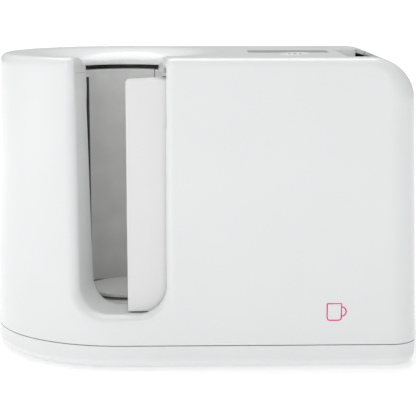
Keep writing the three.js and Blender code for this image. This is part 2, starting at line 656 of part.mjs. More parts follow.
function inletHousing() {
  const { x, z, w, h, depth } = INLET;
  const front = REAR.y + 1.8;
  const flange = prismY(roundedRect(x - 16, x + 16, z - 12.5, z + 12.5, 3), REAR.y + GAP, front, 3);
  const [halfW, halfH] = [w / 2 + 1.6, h / 2 + 1.6];
  const body = box(x - halfW, x + halfW, front - depth - 2, front - 0.5, z - halfH, z + halfH);
  const mouth = polygon([
    [x - w / 2, z - h / 2], [x + w / 2, z - h / 2], [x + w / 2, z + h / 2 - 5],
    [x + w / 2 - 5, z + h / 2], [x - w / 2 + 5, z + h / 2], [x - w / 2, z + h / 2 - 5],
  ]);
  return flange.add(body).subtract(prismY(mouth, front - depth, front + 5));
}

function pinBlade(x, z) {
  return [x - 1, x + 1, z - 2, z + 2];
}

function makeRear() {
  const { x0, x1, z0, z1, y } = REAR;
  const { x, z, w, h, depth } = INLET;
  let plate = prismY(roundedRect(x0 + GAP, x1 - GAP, z0 + GAP, z1 - GAP, 4), y - 2.5, y, 4);
  const [holeW, holeH] = [w / 2 + 1.9, h / 2 + 1.9];
  plate = plate.subtract(box(x - holeW, x + holeW, 60, 120, z - holeH, z + holeH));
  const sw = ROCKER;
  const around = (grow, from, to) => {
    const [halfW, halfH] = [sw.w / 2 + grow, sw.h / 2 + grow];
    return box(sw.x - halfW, sw.x + halfW, from, to, sw.z - halfH, sw.z + halfH);
  };
  plate = plate.subtract(around(2.3, 60, 120));
  addPart('rear_panel', toGeometry(plate), 'panelWhite');
  let housing = inletHousing();
  const pins = [[x, z + 2.5], [x - 7, z - 1.5], [x + 7, z - 1.5]];
  for (const [i, [px, pz]] of pins.entries()) {
    const [a, b, c, d] = pinBlade(px, pz);
    housing = housing.subtract(box(a - GAP, b + GAP, 60, 80, c - GAP, d + GAP));
    addPart(`inlet_pin_${i + 1}`, toGeometry(box(a, b, y - depth - 6, y - 3, c, d)), 'steel');
  }
  addPart('mains_inlet', toGeometry(housing), 'black');
  const frame = around(2, y - 14, y + 0.9).subtract(around(0.4, y - 12, y + 5));
  addPart('rocker_frame', toGeometry(frame), 'black');
  const cap = new THREE.Shape();
  cap.moveTo(-4, -sw.h / 2 + 1.5);
  cap.lineTo(4.6, -sw.h / 2 + 0.3);
  cap.quadraticCurveTo(2.4, 0, 4.6, sw.h / 2 - 0.3);
  cap.lineTo(-4, sw.h / 2 - 1.5);
  const rocker = extrude(cap, sw.w, 6).applyMatrix4(new THREE.Matrix4().makeBasis(
    new THREE.Vector3(0, 1, 0), new THREE.Vector3(0, 0, 1), new THREE.Vector3(1, 0, 0)));
  rocker.rotateX(radians(-sw.tilt)).translate(sw.x - sw.w / 2, sw.y, sw.z);
  addPart('rocker_switch', toGeometry(solid(rocker)), 'dark');
}

// ---- feet and screws ----------------------------------------------------------------------
function makeFasteners() {
  for (const [i, [x, y]] of FEET.entries()) {
    const pad = [[0, 0], [8, 0], [9, 0.8], [9, TRAY_Z + 1], [0, TRAY_Z + 1]];
    addPart(`foot_${i + 1}`, toGeometry(turned(pad, x, y, 16)), 'rubber');
  }
  for (const [i, [x, y]] of SCREWS.entries()) {
    const screw = [[0, 2], [3.6, 2], [4.2, 2.8], [4.2, 4.6], [1.8, 4.6], [1.8, 30], [0, 30]];
    addPart(`base_screw_${i + 1}`, toGeometry(turned(screw, x, y, 10)), 'steel');
  }
}

addPart('upper_shell', toGeometry(upperShell()), 'white');
addPart('funnel_collar', toGeometry(funnelCollar()), 'white');
addPart('base_tray', toGeometry(baseTray()), 'white');
addPart('finger_scoop', toGeometry(fingerScoop()), 'white');
makeWell();
makeJaw();
makeLever();
makePanel();
makeElectrics();
makeRear();
makeFasteners();

export default root;
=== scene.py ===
"""Looks of the mug heat press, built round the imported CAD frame. Metres, +Z up, front towards -Y."""
import json
import math

import bmesh
import bpy
import numpy as np
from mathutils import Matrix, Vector

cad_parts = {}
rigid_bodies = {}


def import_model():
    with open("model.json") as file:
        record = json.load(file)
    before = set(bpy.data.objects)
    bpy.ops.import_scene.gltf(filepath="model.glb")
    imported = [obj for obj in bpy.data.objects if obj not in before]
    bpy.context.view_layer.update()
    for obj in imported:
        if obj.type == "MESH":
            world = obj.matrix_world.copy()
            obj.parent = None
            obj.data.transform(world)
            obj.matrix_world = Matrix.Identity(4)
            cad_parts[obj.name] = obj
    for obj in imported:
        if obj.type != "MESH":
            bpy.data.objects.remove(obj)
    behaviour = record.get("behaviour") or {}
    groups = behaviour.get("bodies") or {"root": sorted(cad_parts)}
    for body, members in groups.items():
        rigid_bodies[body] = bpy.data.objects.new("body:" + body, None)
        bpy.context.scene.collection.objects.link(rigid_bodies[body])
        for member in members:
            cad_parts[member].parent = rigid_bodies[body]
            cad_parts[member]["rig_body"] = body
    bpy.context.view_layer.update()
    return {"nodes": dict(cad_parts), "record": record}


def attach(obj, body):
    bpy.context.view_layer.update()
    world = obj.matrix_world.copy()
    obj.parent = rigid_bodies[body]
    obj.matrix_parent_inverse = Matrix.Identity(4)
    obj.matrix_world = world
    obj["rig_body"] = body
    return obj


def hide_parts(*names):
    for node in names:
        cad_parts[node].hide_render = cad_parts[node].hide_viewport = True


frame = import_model()
MM = 0.001

# ---- driving dimensions, in millimetres ----------------------------------------------------
HALF_LENGTH = 167.5
HALF_WIDTH = 92.5
HEIGHT = 240.0
WALL = 3.5
LEAN = 0.033                 # how far the walls lean in for each millimetre of height
SEAM_Z = 20.0                # parting plane between the base tray and the upper shell
SEAM_HALF = 0.35
TRAY_Z = 1.5
TRAY_EDGE_R = 9.0
TOP_EDGE_R = 7.0
CORNER_R = 22.0
LEFT_REACH = 106.0           # the left end is half an oval this long
RIGHT_LEAN = 0.025
SHOULDER_X, SHOULDER_Z, SHOULDER_RX, SHOULDER_RZ = 124.7, 204.5, 38.2, 35.5
WELL_X = -61.5
BORE_R = 46.0
BAND_T = 3.6
BAND_Z0, BAND_Z1 = 41.0, 222.0
FUNNEL_LIP_R, FUNNEL_LIP_Z = 47.5, 225.8
FUNNEL_RIM_X, FUNNEL_RIM_RX, FUNNEL_RIM_RY = -67.0, 82.0, 75.5
FUNNEL_ROUND = 2.0
FLARE = 1.8
COLLAR_EDGE = 3.0
COLLAR_SEAM_Z = 228.0        # parting line at the front of the cheeks
COLLAR_NOSE_Z = 225.8        # lower edge of the funnel
SLOT_LEFT, SLOT_RIGHT, SLOT_Z, SLOT_R = -99.3, -27.5, 43.5, 22.0
SLOT_FRONT_Y = -90.0
LIP_BACK_Y = -82.2
LEVER_HALF_W, LEVER_LOW_Z, LEVER_EDGE_X = 64.0, 150.0, 138.0
PIVOT_X, PIVOT_Z = 155.0, 158.0
SCOOP_X, SCOOP_Y0, SCOOP_Y1 = 110.5, -68.0, 32.0
VENT_COUNT, VENT_PITCH, VENT_W, VENT_X, VENT_Z0, VENT_Z1 = 8, 8.0, 3.4, -4.0, 110.0, 150.0
WELL_OPENING_R = 51.0        # hole through the top panel for the well
DISPLAY_ROOM = (38, 103, -18, 14, 6)
BUTTON_X, BUTTON_Y, BUTTON_R, BUTTON_ROOM_R = 73.7, -33.5, 10.5, 12.7
REAR_ROOM = (70, 140, 30, 76, 4)
FLAP_ROOM = (-58.3, 4, LIP_BACK_Y, -20, 43, 232)
FEET = [(-105, -46), (-105, 46), (135, -60), (135, 60)]
FOOT_ROOM_R = 9.3
MARK_XS, MARK_Y, MARK_HALF, MARK_R = (69.2, 73.7, 78.2), -33, 0.65, 0.45
MARK_Z0, MARK_Z1 = 239.495, 239.745


# ---- signed distance fields, negative inside the material ----------------------------------
def round_max(a, b, r):
    """Intersection of two fields, with its edge rounded to radius r."""
    return np.minimum(np.maximum(a, b), -r) + np.hypot(np.maximum(a + r, 0), np.maximum(b + r, 0))


def smooth_share(value, low, high):
    t = np.clip((value - low) / (high - low), 0, 1)
    return t * t * (3 - 2 * t)


def oval(x, y, cx, rx, ry):
    """Distance from an oval round (cx, 0)."""
    u, v = (x - cx) / rx, y / ry
    k = np.sqrt(u * u + v * v) + 1e-4
    return k * (k - 1) / np.sqrt((u / rx) ** 2 + (v / ry) ** 2 + 1e-9)


def plan(x, y):
    """Front, back and left walls at the seam; the right wall belongs to the profile."""
    left = oval(np.minimum(x, LEFT_REACH - HALF_LENGTH), y, LEFT_REACH - HALF_LENGTH, LEFT_REACH, HALF_WIDTH)
    return np.where(x < LEFT_REACH - HALF_LENGTH, left, np.abs(y) - HALF_WIDTH)


def profile(x, z):
    """Right wall, rounded shoulder and flat top, seen from the front."""
    flat = np.maximum(x - HALF_LENGTH + RIGHT_LEAN * (z - SEAM_Z), z - HEIGHT)
    arc = np.where(z > SHOULDER_Z, oval(x, z - SHOULDER_Z, SHOULDER_X, SHOULDER_RX, SHOULDER_RZ), flat)
    return np.where(x > SHOULDER_X, arc, z - HEIGHT)


def body(x, y, z):
    """The whole housing above the seam, before anything is cut into it."""
    turn = np.arctan2(np.maximum(z - SHOULDER_Z, 0), np.maximum(x - SHOULDER_X, 1e-3)) / (math.pi / 2)
    edge = CORNER_R + (TOP_EDGE_R - CORNER_R) * smooth_share(turn, 0.0, 1.0)
    edge = np.where(x > SHOULDER_X, edge, TOP_EDGE_R)
    return round_max(plan(x, y) + LEAN * (z - SEAM_Z), profile(x, z), edge)


def funnel(x, y, z):
    """The air in the flared mouth of the mug well: level at the rim, upright where it meets the bore."""
    bore = np.hypot(x - WELL_X, y) - FUNNEL_LIP_R
    to_rim = -oval(x, y, FUNNEL_RIM_X, FUNNEL_RIM_RX, FUNNEL_RIM_RY)
    width = np.maximum(to_rim + bore, 12)
    drop = HEIGHT - FUNNEL_LIP_Z
    inward = np.clip(to_rim / width, 0, 2)
    upward = np.maximum((z - FUNNEL_LIP_Z) / drop, 0)
    q = (inward ** FLARE + upward ** FLARE) ** (1 / FLARE) + 1e-6
    slope = np.hypot((upward / q) ** (FLARE - 1) / drop, (inward / q) ** (FLARE - 1) / width)
    return np.minimum((1 - q) / (slope + 1e-6), bore)


def slot(x, y, z, collar=False):
    """The air in the handle slot. Its left cheek closes in towards the well and, a little, downwards."""
    depth = np.clip(y - SLOT_FRONT_Y, 0, 45)
    low = np.clip(228 - z, 0, 190)
    left = SLOT_LEFT + (0.22 + 0.0003 * low) * depth + 0.011 * low
    right = SLOT_RIGHT - (0.16 * np.clip(depth - 10, 0, 35) if collar else 0)
    middle, half = (right + left) / 2, (right - left) / 2
    across = np.abs(x - middle) - (half - SLOT_R)
    down = SLOT_Z + SLOT_R - z
    corner = np.hypot(np.maximum(across, 0), np.maximum(down, 0))
    shape = corner + np.minimum(np.maximum(across, down), 0) - SLOT_R
    return np.maximum(shape, y + 30)


def housing(x, y, z, collar=False):
    """Housing with its funnel and slot, all edges rounded, as one solid lump."""
    solid = round_max(body(x, y, z), -funnel(x, y, z), FUNNEL_ROUND)
    front = 8.5 - 2.0 * smooth_share(x, -70, -50)
    edge = front - (front - 3.0) * smooth_share(y, -84, -66) * smooth_share(z, 200, 222)
    return round_max(solid, -slot(x, y, z, collar), edge)


def skin(x, y, z, collar=False):
    lump = housing(x, y, z, collar)
    return np.maximum(lump, -(lump + WALL))


def block(x, y, z, x0, x1, y0, y1, z0, z1):
    return np.maximum(
        np.maximum(np.abs(x - (x0 + x1) / 2) - (x1 - x0) / 2, np.abs(y - (y0 + y1) / 2) - (y1 - y0) / 2),
        np.abs(z - (z0 + z1) / 2) - (z1 - z0) / 2,
    )


def rounded(u, v, u0, u1, v0, v1, r):
    """Distance from a rectangle with round corners."""
    a = np.abs(u - (u0 + u1) / 2) - (u1 - u0) / 2 + r
    b = np.abs(v - (v0 + v1) / 2) - (v1 - v0) / 2 + r
    return np.hypot(np.maximum(a, 0), np.maximum(b, 0)) + np.minimum(np.maximum(a, b), 0) - r


def collar_room(x, y, z, grow):
    rim = oval(x, y, FUNNEL_RIM_X, FUNNEL_RIM_RX + COLLAR_EDGE, FUNNEL_RIM_RY + COLLAR_EDGE)
    foot = COLLAR_NOSE_Z + (COLLAR_SEAM_Z - COLLAR_NOSE_Z) * np.clip((-38 - y) / 42, 0, 1)
    return np.maximum(rim - grow, foot - grow - z)


def collar(x, y, z):
    return np.maximum(skin(x, y, z, True), collar_room(x, y, z, -0.07))


def lever_room(x, y, z, grow):
    half = LEVER_HALF_W + grow
    return block(x, y, z, LEVER_EDGE_X - grow, 300, -half, half, LEVER_LOW_Z - grow, 400)


def vents(x, y, z):
    k = np.clip(np.round((x - VENT_X - VENT_W / 2) / VENT_PITCH), 0, VENT_COUNT - 1)
    centre = VENT_X + VENT_W / 2 + k * VENT_PITCH
    slots = rounded(x - centre, z, -VENT_W / 2, VENT_W / 2, VENT_Z0, VENT_Z1, VENT_W / 2 - 0.1)
    return np.maximum(slots, 60 - y)


def shell(x, y, z):
    wall = np.maximum(skin(x, y, z), SEAM_Z + SEAM_HALF - z)
    wall = np.maximum(wall, -collar_room(x, y, z, 0.07))
    wall = np.maximum(wall, -(np.hypot(x - WELL_X, y) - WELL_OPENING_R))
    under = np.maximum(oval(x, y, FUNNEL_RIM_X, FUNNEL_RIM_RX - 1, FUNNEL_RIM_RY - 1), 217 - z)
    wall = np.maximum(wall, -np.maximum(under, 5 - slot(x, y, z)))
    wall = np.maximum(wall, -block(x, y, z, *FLAP_ROOM))
    wall = np.maximum(wall, -np.maximum(rounded(x, y, *DISPLAY_ROOM), 150 - z))
    wall = np.maximum(wall, -np.maximum(np.hypot(x - BUTTON_X, y - BUTTON_Y) - BUTTON_ROOM_R, 150 - z))
    wall = np.maximum(wall, -block(x, y, z, SCOOP_X, 160, SCOOP_Y0, SCOOP_Y1, 215, 400))
    wall = np.maximum(wall, -lever_room(x, y, z, 0.7))
    wall = np.maximum(wall, -np.maximum(rounded(x, z, *REAR_ROOM), 60 - y))
    return np.maximum(wall, -vents(x, y, z))


def lever(x, y, z):
    panel = np.maximum(skin(x, y, z), lever_room(x, y, z, 0))
    panel = np.maximum(panel, PIVOT_Z - z)
    ring = np.hypot(x - PIVOT_X, z - PIVOT_Z)
    curl = np.maximum(np.abs(ring - 6.45) - 1.5, np.maximum(z - PIVOT_Z, PIVOT_X + 2.6 - x))
    curl = np.maximum(curl, np.abs(y) - LEVER_HALF_W)
    depth = body(x, y, z)
    web = np.minimum(np.maximum(depth + 1.0, -depth - 9.0), ring - 7.4)
    web = np.maximum(web, np.maximum(150.6 - z, 141 - x))
    web = np.maximum(web, np.abs(np.abs(y) - LEVER_HALF_W + 1.5) - 1.5)
    return np.maximum(np.minimum(np.minimum(panel, curl), web), 3.0 - ring)


def tray(x, y, z):
    """Base tray: the housing's outline below the seam, with a rounded lower edge."""
    def lump(grow):
        side = round_max(plan(x, y), x - HALF_LENGTH, CORNER_R)
        return round_max(side, TRAY_Z - z, TRAY_EDGE_R) + grow
    walls = np.maximum(lump(0), z - SEAM_Z + SEAM_HALF)
    walls = np.maximum(walls, -lump(WALL))
    for fx, fy in FEET:
        walls = np.maximum(walls, -np.maximum(np.hypot(x - fx, y - fy) - FOOT_ROOM_R, z - TRAY_Z - 1.3))
    return walls


# ---- dual contouring -----------------------------------------------------------------------
def gradient(field, p):
    step = 0.04
    g = np.empty_like(p)
    for axis in range(3):
        hi, lo = p.copy(), p.copy()
        hi[:, axis] += step
        lo[:, axis] -= step
        g[:, axis] = field(*hi.T) - field(*lo.T)
    return g / (np.linalg.norm(g, axis=1, keepdims=True) + 1e-12)


def crossings(field, values, axes, axis):
    """Places where grid edges along one axis pass through the surface."""
    shift = [slice(None)] * 3
    first, second = list(shift), list(shift)
    first[axis], second[axis] = slice(None, -1), slice(1, None)
    a, b = values[tuple(first)], values[tuple(second)]
    index = np.argwhere((a < 0) != (b < 0))
    fa, fb = a[tuple(index.T)], b[tuple(index.T)]
    p = np.stack([axes[k][index[:, k]] for k in range(3)], axis=1)
    start = p[:, axis].copy()
    end = axes[axis][index[:, axis] + 1]
    lo, hi, flo = start.copy(), end.copy(), fa.copy()
    for _ in range(9):
        middle = (lo + hi) / 2
        p[:, axis] = middle
        f = field(*p.T)
        same = (f < 0) == (flo < 0)
        lo, hi = np.where(same, middle, lo), np.where(same, hi, middle)
    p[:, axis] = (lo + hi) / 2
    return index, p, fa < 0


def contour(field, axes):
    """Vertices, quads and corner normals of the field's zero surface on a grid of any spacing."""
    grid = np.meshgrid(*axes, indexing="ij")
    values = field(*grid)
    cells = np.array([len(a) - 1 for a in axes])
    owner, points, normals, quads = [], [], [], []
    for axis in range(3):
        index, p, inside_first = crossings(field, values, axes, axis)
        n = gradient(field, p)
        u, v = (axis + 1) % 3, (axis + 2) % 3
        ring = []
        for du, dv in ((1, 1), (0, 1), (0, 0), (1, 0)):
            cell = index.copy()
            cell[:, u] -= du
            cell[:, v] -= dv
            flat = (cell[:, 0] * cells[1] + cell[:, 1]) * cells[2] + cell[:, 2]
            ring.append(flat)
            owner.append(flat)
            points.append(p)
            normals.append(n)
        ring = np.stack(ring, axis=1)
        quads.append(np.where(inside_first[:, None], ring, ring[:, ::-1]))
    owner, points, normals = np.concatenate(owner), np.concatenate(points), np.concatenate(normals)
    quads = np.concatenate(quads)
    used, inverse = np.unique(owner, return_inverse=True)
    count = np.bincount(inverse)

    def total(weights):
        return np.bincount(inverse, weights=weights)

    centre = np.stack([total(points[:, k]) for k in range(3)], axis=1) / count[:, None]
    offset = ((points - centre[inverse]) * normals).sum(axis=1)
    matrix = np.zeros((len(used), 3, 3))
    target = np.zeros((len(used), 3))
    for i in range(3):
        target[:, i] = total(offset * normals[:, i])
        for j in range(3):
            matrix[:, i, j] = total(normals[:, i] * normals[:, j])
    matrix += np.eye(3) * 0.04
    vertex = centre + np.linalg.solve(matrix, target[:, :, None])[:, :, 0]
    corner = np.stack(np.unravel_index(used, cells), axis=1)
    low = np.stack([axes[k][corner[:, k]] for k in range(3)], axis=1)
    high = np.stack([axes[k][corner[:, k] + 1] for k in range(3)], axis=1)
    vertex = np.clip(vertex, low, high)
    mean = np.stack([total(normals[:, k]) for k in range(3)], axis=1) / count[:, None]
    smooth = np.linalg.norm(mean, axis=1) > 0.97
    for _ in range(2):
        move = gradient(field, vertex[smooth])
        vertex[smooth] -= move * field(*vertex[smooth].T)[:, None]
    quads = np.searchsorted(used, quads)
    centroid = vertex[quads].mean(axis=1)
    sample = vertex[quads] * 0.7 + centroid[:, None, :] * 0.3
    sample = np.where(smooth[quads][:, :, None], vertex[quads], sample)
    corner_normals = gradient(field, sample.reshape(-1, 3))
    return vertex, quads, corner_normals


def steps(low, high, size, fine=()):
    """Grid lines from low to high; each (start, end, size) in fine has its own spacing."""
    marks = [low]
    while marks[-1] < high:
        here = size
        for start, end, small in fine:
            if start <= marks[-1] < end:
                here = small
        marks.append(marks[-1] + here)
    return np.array(marks) + 0.0137


def contour_piece(name, field, axes):
    vertex, quads, normals = contour(field, axes)
    mesh = bpy.data.meshes.new(name)
    mesh.from_pydata((vertex * MM).tolist(), [], quads.tolist())
    mesh.shade_smooth()
    mesh.normals_split_custom_set(normals.tolist())
    return link(name, mesh)


# ---- mesh helpers --------------------------------------------------------------------------
def link(name, mesh):
    obj = bpy.data.objects.new(name, mesh)
    bpy.context.scene.collection.objects.link(obj)
    return obj


def link_bmesh(name, bm):
    mesh = bpy.data.meshes.new(name)
    bm.to_mesh(mesh)
    bm.free()
    return link(name, mesh)


def turned(name, outline, x, y, sides=96):
    """Turns (radius, height) points in millimetres round a vertical axis."""
    bm = bmesh.new()
    rings = []
    for r, z in outline:
        if r < 1e-6:
            rings.append([bm.verts.new((x * MM, y * MM, z * MM))])
            continue
        ring = []
        for i in range(sides):
            a = 2 * math.pi * i / sides
            ring.append(bm.verts.new(((x + r * math.cos(a)) * MM, (y + r * math.sin(a)) * MM, z * MM)))
        rings.append(ring)
    for low, high in zip(rings, rings[1:]):
        for i in range(sides):
            j = (i + 1) % sides
            quad = [low[i % len(low)], low[j % len(low)], high[j % len(high)], high[i % len(high)]]
            bm.faces.new(list(dict.fromkeys(quad)))
    bmesh.ops.recalc_face_normals(bm, faces=bm.faces)
    return link_bmesh(name, bm)


def sector(name, r0, r1, start, end, z0, z1, sides=72):
    """A ring sector round the well's axis, between two angles in degrees."""
    bm = bmesh.new()
    columns = []
    for i in range(sides + 1):
        a = math.radians(start + (end - start) * i / sides)
        column = []
        for r, z in ((r0, z0), (r1, z0), (r1, z1), (r0, z1)):
            column.append(bm.verts.new(((WELL_X + r * math.cos(a)) * MM, r * math.sin(a) * MM, z * MM)))
        columns.append(column)
    for a, b in zip(columns, columns[1:]):
        for k in range(4):
            bm.faces.new((a[k], a[(k + 1) % 4], b[(k + 1) % 4], b[k]))
    bm.faces.new(columns[0])
    bm.faces.new(columns[-1][::-1])
    bmesh.ops.recalc_face_normals(bm, faces=bm.faces)
    return link_bmesh(name, bm)


def finish_edges(obj, width, segments=3, angle=32):
    """Rounds the sharp edges and bakes the result into the mesh."""
    bevel = obj.modifiers.new("bevel", "BEVEL")
    bevel.width = width * MM
    bevel.segments = segments
    bevel.limit_method = "ANGLE"
    bevel.angle_limit = math.radians(angle)
    bevel.harden_normals = False
    weighted = obj.modifiers.new("weighted", "WEIGHTED_NORMAL")
    weighted.keep_sharp = False
    obj.data.shade_smooth()
    bpy.context.view_layer.update()
    graph = bpy.context.evaluated_depsgraph_get()
    final = obj.evaluated_get(graph)
    baked = bpy.data.meshes.new_from_object(final, preserve_all_data_layers=True, depsgraph=graph)
    obj.modifiers.clear()
    obj.data = baked
    return obj


def remade(node, width, segments=3, angle=32):
    """A copy of a CAD node with its edges rounded, to stand for that node."""
    bm = bmesh.new()
    bm.from_mesh(frame["nodes"][node].data)
    bmesh.ops.remove_doubles(bm, verts=bm.verts, dist=2e-6)
    bmesh.ops.dissolve_limit(bm, angle_limit=math.radians(0.6), verts=bm.verts, edges=bm.edges)
    return finish_edges(link_bmesh(node + "_fine", bm), width, segments, angle)


def stand_in(obj, node, material):
    obj.data.materials.clear()
    obj.data.materials.append(material)
    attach(obj, frame["nodes"][node]["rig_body"])
    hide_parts(node)
    return obj


SLOTS = {row["node"]: row["material_slot"] for row in frame["record"]["subparts"]}


# ---- materials -----------------------------------------------------------------------------
def material(name, color, roughness, metallic=0.0, coat=0.0, coat_roughness=0.1, variation=0.03,
             grain=600.0, grain_depth=0.02, blotch=14.0, roughness_span=0.06):
    """Principled material with broad colour variation, fine grain bump and uneven gloss."""
    mat = bpy.data.materials.new(name)
    mat.use_nodes = True
    nodes, links = mat.node_tree.nodes, mat.node_tree.links
    shader = nodes["Principled BSDF"]
    shader.inputs["Metallic"].default_value = metallic
    shader.inputs["Coat Weight"].default_value = coat
    shader.inputs["Coat Roughness"].default_value = coat_roughness
    place = nodes.new("ShaderNodeTexCoord")
    broad = nodes.new("ShaderNodeTexNoise")
    broad.inputs["Scale"].default_value = blotch
    broad.inputs["Detail"].default_value = 4
    ramp = nodes.new("ShaderNodeValToRGB")
    low = [c * (1 - variation) for c in color]
    high = [min(1.0, c * (1 + variation)) for c in color]
    ramp.color_ramp.elements[0].position = 0.3
    ramp.color_ramp.elements[1].position = 0.7
    ramp.color_ramp.elements[0].color = (*low, 1)
    ramp.color_ramp.elements[1].color = (*high, 1)
    fine = nodes.new("ShaderNodeTexNoise")
    fine.inputs["Scale"].default_value = grain
    fine.inputs["Detail"].default_value = 3
    gloss = nodes.new("ShaderNodeMapRange")
    gloss.inputs["To Min"].default_value = max(0.02, roughness - roughness_span)
    gloss.inputs["To Max"].default_value = roughness + roughness_span
    bump = nodes.new("ShaderNodeBump")
    bump.inputs["Strength"].default_value = grain_depth * 10
    bump.inputs["Distance"].default_value = 0.0001
    links.new(place.outputs["Object"], broad.inputs["Vector"])
    links.new(place.outputs["Object"], fine.inputs["Vector"])
    links.new(broad.outputs["Fac"], ramp.inputs["Fac"])
    links.new(ramp.outputs["Color"], shader.inputs["Base Color"])
    links.new(broad.outputs["Fac"], gloss.inputs["Value"])
    links.new(gloss.outputs["Result"], shader.inputs["Roughness"])
    links.new(fine.outputs["Fac"], bump.inputs["Height"])
    links.new(bump.outputs["Normal"], shader.inputs["Normal"])
    return mat


MATERIALS = {
    "white_plastic": material(
        "white_abs", (0.83, 0.835, 0.84), 0.3, coat=0.35, variation=0.008, grain=900, grain_depth=0.006,
    ),
    "panel_white": material(
        "panel_abs", (0.8, 0.8, 0.797), 0.42, coat=0.1, variation=0.012, grain=1100, grain_depth=0.012,
    ),
    "heater_silicone": material(
        "heater_silicone", (0.8, 0.8, 0.795), 0.7,
        variation=0.04, grain=1500, grain_depth=0.09, blotch=60,
    ),
    "grey_rest": material(
        "rest_grey", (0.66, 0.66, 0.655), 0.8, variation=0.04, grain=1300, grain_depth=0.06, blotch=40,
    ),
    "dark_plastic": material(
        "charcoal_plastic", (0.055, 0.056, 0.06), 0.5, variation=0.1, grain=1200, grain_depth=0.05,
    ),
    "black_plastic": material(
        "black_plastic", (0.02, 0.02, 0.021), 0.45, variation=0.12, grain=1200, grain_depth=0.05,
    ),
    "display_lens": material(
        "display_lens", (0.3, 0.31, 0.31), 0.08, coat=0.6, coat_roughness=0.03,
        variation=0.1, grain_depth=0.0015,
    ),
    "circuit_board": material(
        "solder_mask", (0.03, 0.16, 0.07), 0.35, variation=0.18, grain=500, grain_depth=0.05, blotch=180,
    ),
    "winding_tape": material(
        "winding_tape", (0.55, 0.34, 0.06), 0.5, variation=0.15, grain=400, grain_depth=0.05, blotch=120,
    ),
    "relay_case": material("relay_case", (0.035, 0.09, 0.24), 0.35, variation=0.08),
    "red_insulation": material("red_insulation", (0.42, 0.025, 0.02), 0.5, variation=0.1),
    "steel": material(
        "bright_steel", (0.58, 0.585, 0.59), 0.3, metallic=1.0,
        variation=0.06, grain=900, grain_depth=0.04, blotch=90,
    ),
    "zinc_sheet": material(
        "zinc_sheet", (0.5, 0.515, 0.53), 0.42, metallic=0.9,
        variation=0.12, grain=300, grain_depth=0.03, blotch=70,
    ),
    "bare_aluminium": material(
        "aluminium", (0.66, 0.665, 0.67), 0.36, metallic=1.0, variation=0.06, blotch=60,
    ),
    "foot_rubber": material(
        "foot_rubber", (0.025, 0.025, 0.026), 0.85, variation=0.15, grain=900, grain_depth=0.08,
    ),
}


# ---- housing -------------------------------------------------------------------------------
def make_housing():
    size = 2.0
    x_lines = steps(-169, 169, size, [(-36, -14, 1.0), (-9, 59, 1.0)])
    y_lines = steps(-94, 94, size, [(-94, -78, 1.0)])
    z_lines = steps(18.5, 242, size)
    white = MATERIALS["white_plastic"]
    stand_in(contour_piece("upper_shell_fine", shell, (x_lines, y_lines, z_lines)), "upper_shell", white)
    fine = size * 0.6
    collar_axes = (steps(-156, 24, fine), steps(-90, 82, fine), steps(222, 242, fine * 0.8))
    stand_in(contour_piece("funnel_collar_fine", collar, collar_axes), "funnel_collar", white)
    tray_axes = (steps(-169, 169, size), steps(-94, 94, size), steps(0, 21, size * 0.7))
    stand_in(contour_piece("base_tray_fine", tray, tray_axes), "base_tray", white)
    lever_axes = (steps(136, 165, fine), steps(-66, 66, fine), steps(149, 241, fine))
    stand_in(contour_piece("clamp_lever_fine", lever, lever_axes), "clamp_lever", white)


def band_sector(name, start, end, thin_start, thin_end, z0, z1, sides):
    """A heater band; towards an open end its back tapers to a thin edge."""
    obj = sector(name, BORE_R, BORE_R + BAND_T, start, end, z0, z1, sides)
    for vertex in obj.data.vertices:
        x, y = vertex.co.x / MM - WELL_X, vertex.co.y / MM
        r = math.hypot(x, y)
        angle = math.degrees(math.atan2(y, x)) % 360
        if r > BORE_R + 1 and thin_start < angle < thin_end:
            share = (angle - thin_start) / (thin_end - thin_start)
            scale = (BORE_R + BAND_T - (BAND_T - 1.1) * share) / r
            vertex.co.x, vertex.co.y = (x * scale + WELL_X) * MM, y * scale * MM
    return obj


def paint_band_back_shade(obj):
    """The outer and end faces of a band get charcoal plastic, as painted shade for the dark gap behind the
    band.
    """
    obj.data.materials.append(MATERIALS["dark_plastic"])
    for polygon in obj.data.polygons:
        r = math.hypot(polygon.center.x / MM - WELL_X, polygon.center.y / MM)
        # painted shade: faces away from the bore take the charcoal material to stand for the shadowed gap
        # behind the band
        if r > BORE_R + 0.45:
            polygon.material_index = 1


def make_well():
    outer = BORE_R + BAND_T
    heater, zinc, rest = MATERIALS["heater_silicone"], MATERIALS["zinc_sheet"], MATERIALS["grey_rest"]
    fixed = band_sector("fixed_band_fine", 59.6, 236, 222, 236, BAND_Z0, BAND_Z1, 150)
    paint_band_back_shade(stand_in(finish_edges(fixed, 0.4), "fixed_band", heater))
    moving = band_sector("moving_band_fine", -48, 58.9, 400, 401, BAND_Z0, BAND_Z1, 90)
    paint_band_back_shade(stand_in(finish_edges(moving, 0.4), "moving_band", heater))
    wall = sector("well_wall_fine", outer + 0.3, outer + 2.4, 62, 230, 25.3, 222.5, 140)
    stand_in(finish_edges(wall, 0.4, 2), "well_wall", zinc)
    disc = [(0, 42.3), (30, 42.3), (30.8, 42.6), (31, 43.2), (31, 44.4), (30.7, 45.1), (30, 45.3), (0, 45.3)]
    stand_in(turned("mug_rest_fine", disc, WELL_X, 0, 128), "mug_rest", rest)
    floor = [(8.4, 38), (49, 38), (49, 40.3), (8.4, 40.3), (8.4, 38)]
    stand_in(turned("well_floor_fine", floor, WELL_X, 0, 128), "well_floor", rest)


